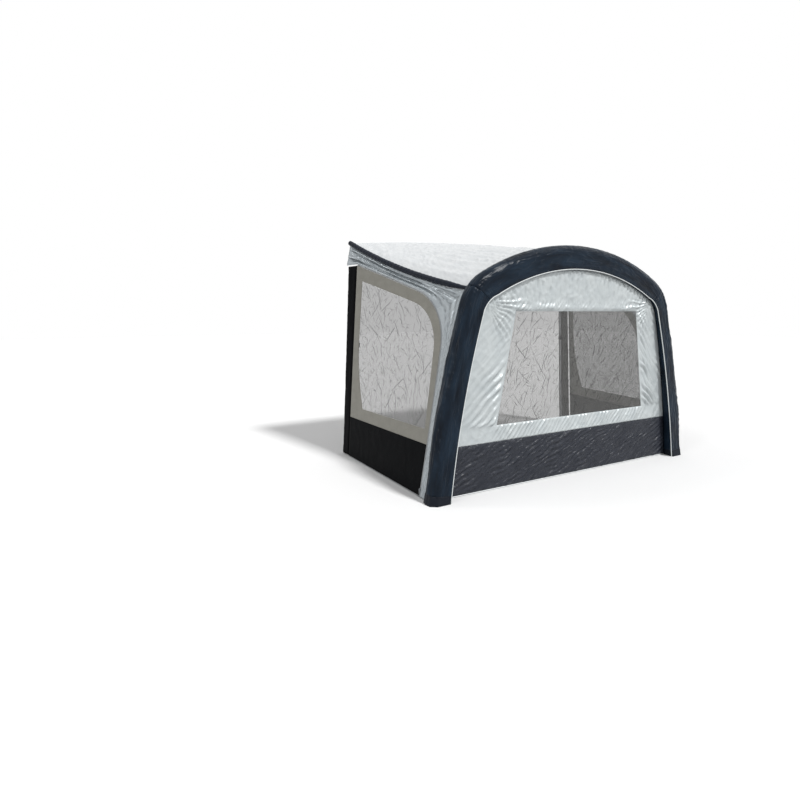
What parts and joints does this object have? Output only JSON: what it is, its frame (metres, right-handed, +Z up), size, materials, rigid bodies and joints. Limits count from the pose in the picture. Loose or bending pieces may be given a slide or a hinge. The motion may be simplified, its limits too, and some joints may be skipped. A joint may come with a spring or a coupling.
{
  "type": "caravan porch awning",
  "caption": "Air-beam porch awning for the side of a caravan, with an arched front tube, clear windows, curved zip doors in the side walls and telescopic poles.",
  "frame": {"origin": "on the ground, in the middle of the awning's width and depth", "axes": "+X to the right as seen from the front, +Y towards the caravan, +Z up"},
  "size_m": [3.429, 1.87, 2.453],
  "materials": {
    "black_plastic": "satin",
    "bladder_film": "satin film",
    "clear_film": "clear creased film",
    "grey_piping": "satin",
    "grey_rubber": "matt",
    "navy_sleeve": "smooth coated weave",
    "pad_foam": "matt",
    "pale_piping": "satin",
    "pole_steel": "satin",
    "roof_fabric": "satin coated weave",
    "silver_fabric": "satin coated weave",
    "skirt_fabric": "satin coated weave",
    "taupe_fabric": "matt weave",
    "valve_plastic": "satin",
    "zinc": "cast, satin",
    "zip_tape": "matt"
  },
  "bodies": {
    "awning": {"air_bladder": "bladder_film", "arch_sleeve": "navy_sleeve", "fascia_piping": "pale_piping", "front_hem_piping": "pale_piping", "front_panel": "silver_fabric", "front_skirt": "skirt_fabric", "front_window": "clear_film", "left_brace_outer": "pole_steel", "left_brace_rear_pad": "grey_rubber", "left_leg_boot": "navy_sleeve", "left_leg_sleeve": "navy_sleeve", "left_pole_clamp": "black_plastic", "left_pole_foot": "grey_rubber", "left_pole_lower": "pole_steel", "left_rear_pad": "pad_foam", "left_roof_edge": "navy_sleeve", "left_side_panel": "silver_fabric", "left_zip_chain": "zip_tape", "rail_bead": "pale_piping", "right_brace_outer": "pole_steel", "right_brace_rear_pad": "grey_rubber", "right_leg_boot": "navy_sleeve", "right_leg_sleeve": "navy_sleeve", "right_pole_clamp": "black_plastic", "right_pole_foot": "grey_rubber", "right_pole_lower": "pole_steel", "right_rear_pad": "pad_foam", "right_roof_edge": "navy_sleeve", "right_side_panel": "silver_fabric", "right_zip_chain": "zip_tape", "roof_panel": "roof_fabric", "valve_body": "valve_plastic"},
    "left_door": {"left_door_surround": "taupe_fabric", "left_door_window": "clear_film", "left_door_skirt": "skirt_fabric", "left_door_hem_piping": "grey_piping"},
    "left_slider": {"left_zip_slider": "zinc"},
    "left_puller": {"left_zip_puller": "zinc"},
    "left_upper_pole": {"left_pole_upper": "pole_steel", "left_pole_top_cup": "black_plastic"},
    "left_lever": {"left_pole_lever": "black_plastic"},
    "left_brace_slide_end": {"left_brace_inner": "pole_steel", "left_brace_front_cup": "black_plastic"},
    "left_collar": {"left_brace_collar": "black_plastic"},
    "right_door": {"right_door_surround": "taupe_fabric", "right_door_window": "clear_film", "right_door_skirt": "skirt_fabric", "right_door_hem_piping": "grey_piping"},
    "right_slider": {"right_zip_slider": "zinc"},
    "right_puller": {"right_zip_puller": "zinc"},
    "right_upper_pole": {"right_pole_upper": "pole_steel", "right_pole_top_cup": "black_plastic"},
    "right_lever": {"right_pole_lever": "black_plastic"},
    "right_brace_slide_end": {"right_brace_inner": "pole_steel", "right_brace_front_cup": "black_plastic"},
    "right_collar": {"right_brace_collar": "black_plastic"},
    "valve_lid": {"valve_cap": "valve_plastic"},
    "valve_stem": {"valve_plunger": "pale_piping"}
  },
  "joints": [
    {"name": "left_door_hinge", "type": "hinge", "parent": "awning", "child": "left_door", "pos_m": [-1.70555, 0.76396, 0.00008], "axis": [-0.0552, 0, -0.9985], "range_deg": [0, 100]},
    {"name": "left_zip_run", "type": "slide", "parent": "awning", "child": "left_slider", "axis": [0.1989, 0.0594, 0.9782], "range_m": [0, 1.15]},
    {"name": "left_puller_pivot", "type": "hinge", "parent": "left_slider", "child": "left_puller", "pos_m": [-1.62441, -0.6662, 0.06687], "axis": [-0.0693, 0.9965, -0.0464], "range_deg": [0, 165]},
    {"name": "left_pole_slide", "type": "slide", "parent": "awning", "child": "left_upper_pole", "axis": [0.0457, 0, 0.999], "range_m": [-0.95, 0]},
    {"name": "left_lever_pivot", "type": "hinge", "parent": "awning", "child": "left_lever", "pos_m": [-1.53545, 0.85, 1.25125], "axis": [0, -1, 0], "range_deg": [0, 120]},
    {"name": "left_brace_slide", "type": "slide", "parent": "awning", "child": "left_brace_slide_end", "axis": [0, 0.9809, 0.1944], "range_m": [0, 0.6]},
    {"name": "left_collar_twist", "type": "hinge", "parent": "awning", "child": "left_collar", "pos_m": [-0.65, -0.05343, 2.19848], "axis": [0, 0.9809, 0.1944], "range_deg": [0, 90]},
    {"name": "right_door_hinge", "type": "hinge", "parent": "awning", "child": "right_door", "pos_m": [1.70555, 0.76396, 0.00008], "axis": [-0.0552, 0, 0.9985], "range_deg": [0, 100]},
    {"name": "right_zip_run", "type": "slide", "parent": "awning", "child": "right_slider", "axis": [-0.1989, 0.0594, 0.9782], "range_m": [0, 1.15]},
    {"name": "right_puller_pivot", "type": "hinge", "parent": "right_slider", "child": "right_puller", "pos_m": [1.62441, -0.6662, 0.06687], "axis": [-0.0693, -0.9965, 0.0464], "range_deg": [0, 165]},
    {"name": "right_pole_slide", "type": "slide", "parent": "awning", "child": "right_upper_pole", "axis": [-0.0457, 0, 0.999], "range_m": [-0.95, 0]},
    {"name": "right_lever_pivot", "type": "hinge", "parent": "awning", "child": "right_lever", "pos_m": [1.53545, 0.85, 1.25125], "axis": [0, 1, 0], "range_deg": [0, 120]},
    {"name": "right_brace_slide", "type": "slide", "parent": "awning", "child": "right_brace_slide_end", "axis": [0, 0.9809, 0.1944], "range_m": [0, 0.6]},
    {"name": "right_collar_twist", "type": "hinge", "parent": "awning", "child": "right_collar", "pos_m": [0.65, -0.05343, 2.19848], "axis": [0, 0.9809, 0.1944], "range_deg": [0, 90]},
    {"name": "valve_cap_turn", "type": "hinge", "parent": "awning", "child": "valve_lid", "pos_m": [1.42951, -0.78394, 0.6252], "axis": [-0.6962, 0.7071, -0.1238], "range_deg": [0, 90]},
    {"name": "valve_stem_push", "type": "slide", "parent": "awning", "child": "valve_stem", "axis": [-0.6962, 0.7071, -0.1238], "range_m": [-0.004, 0], "stiffness_N_per_m": 400}
  ]
}
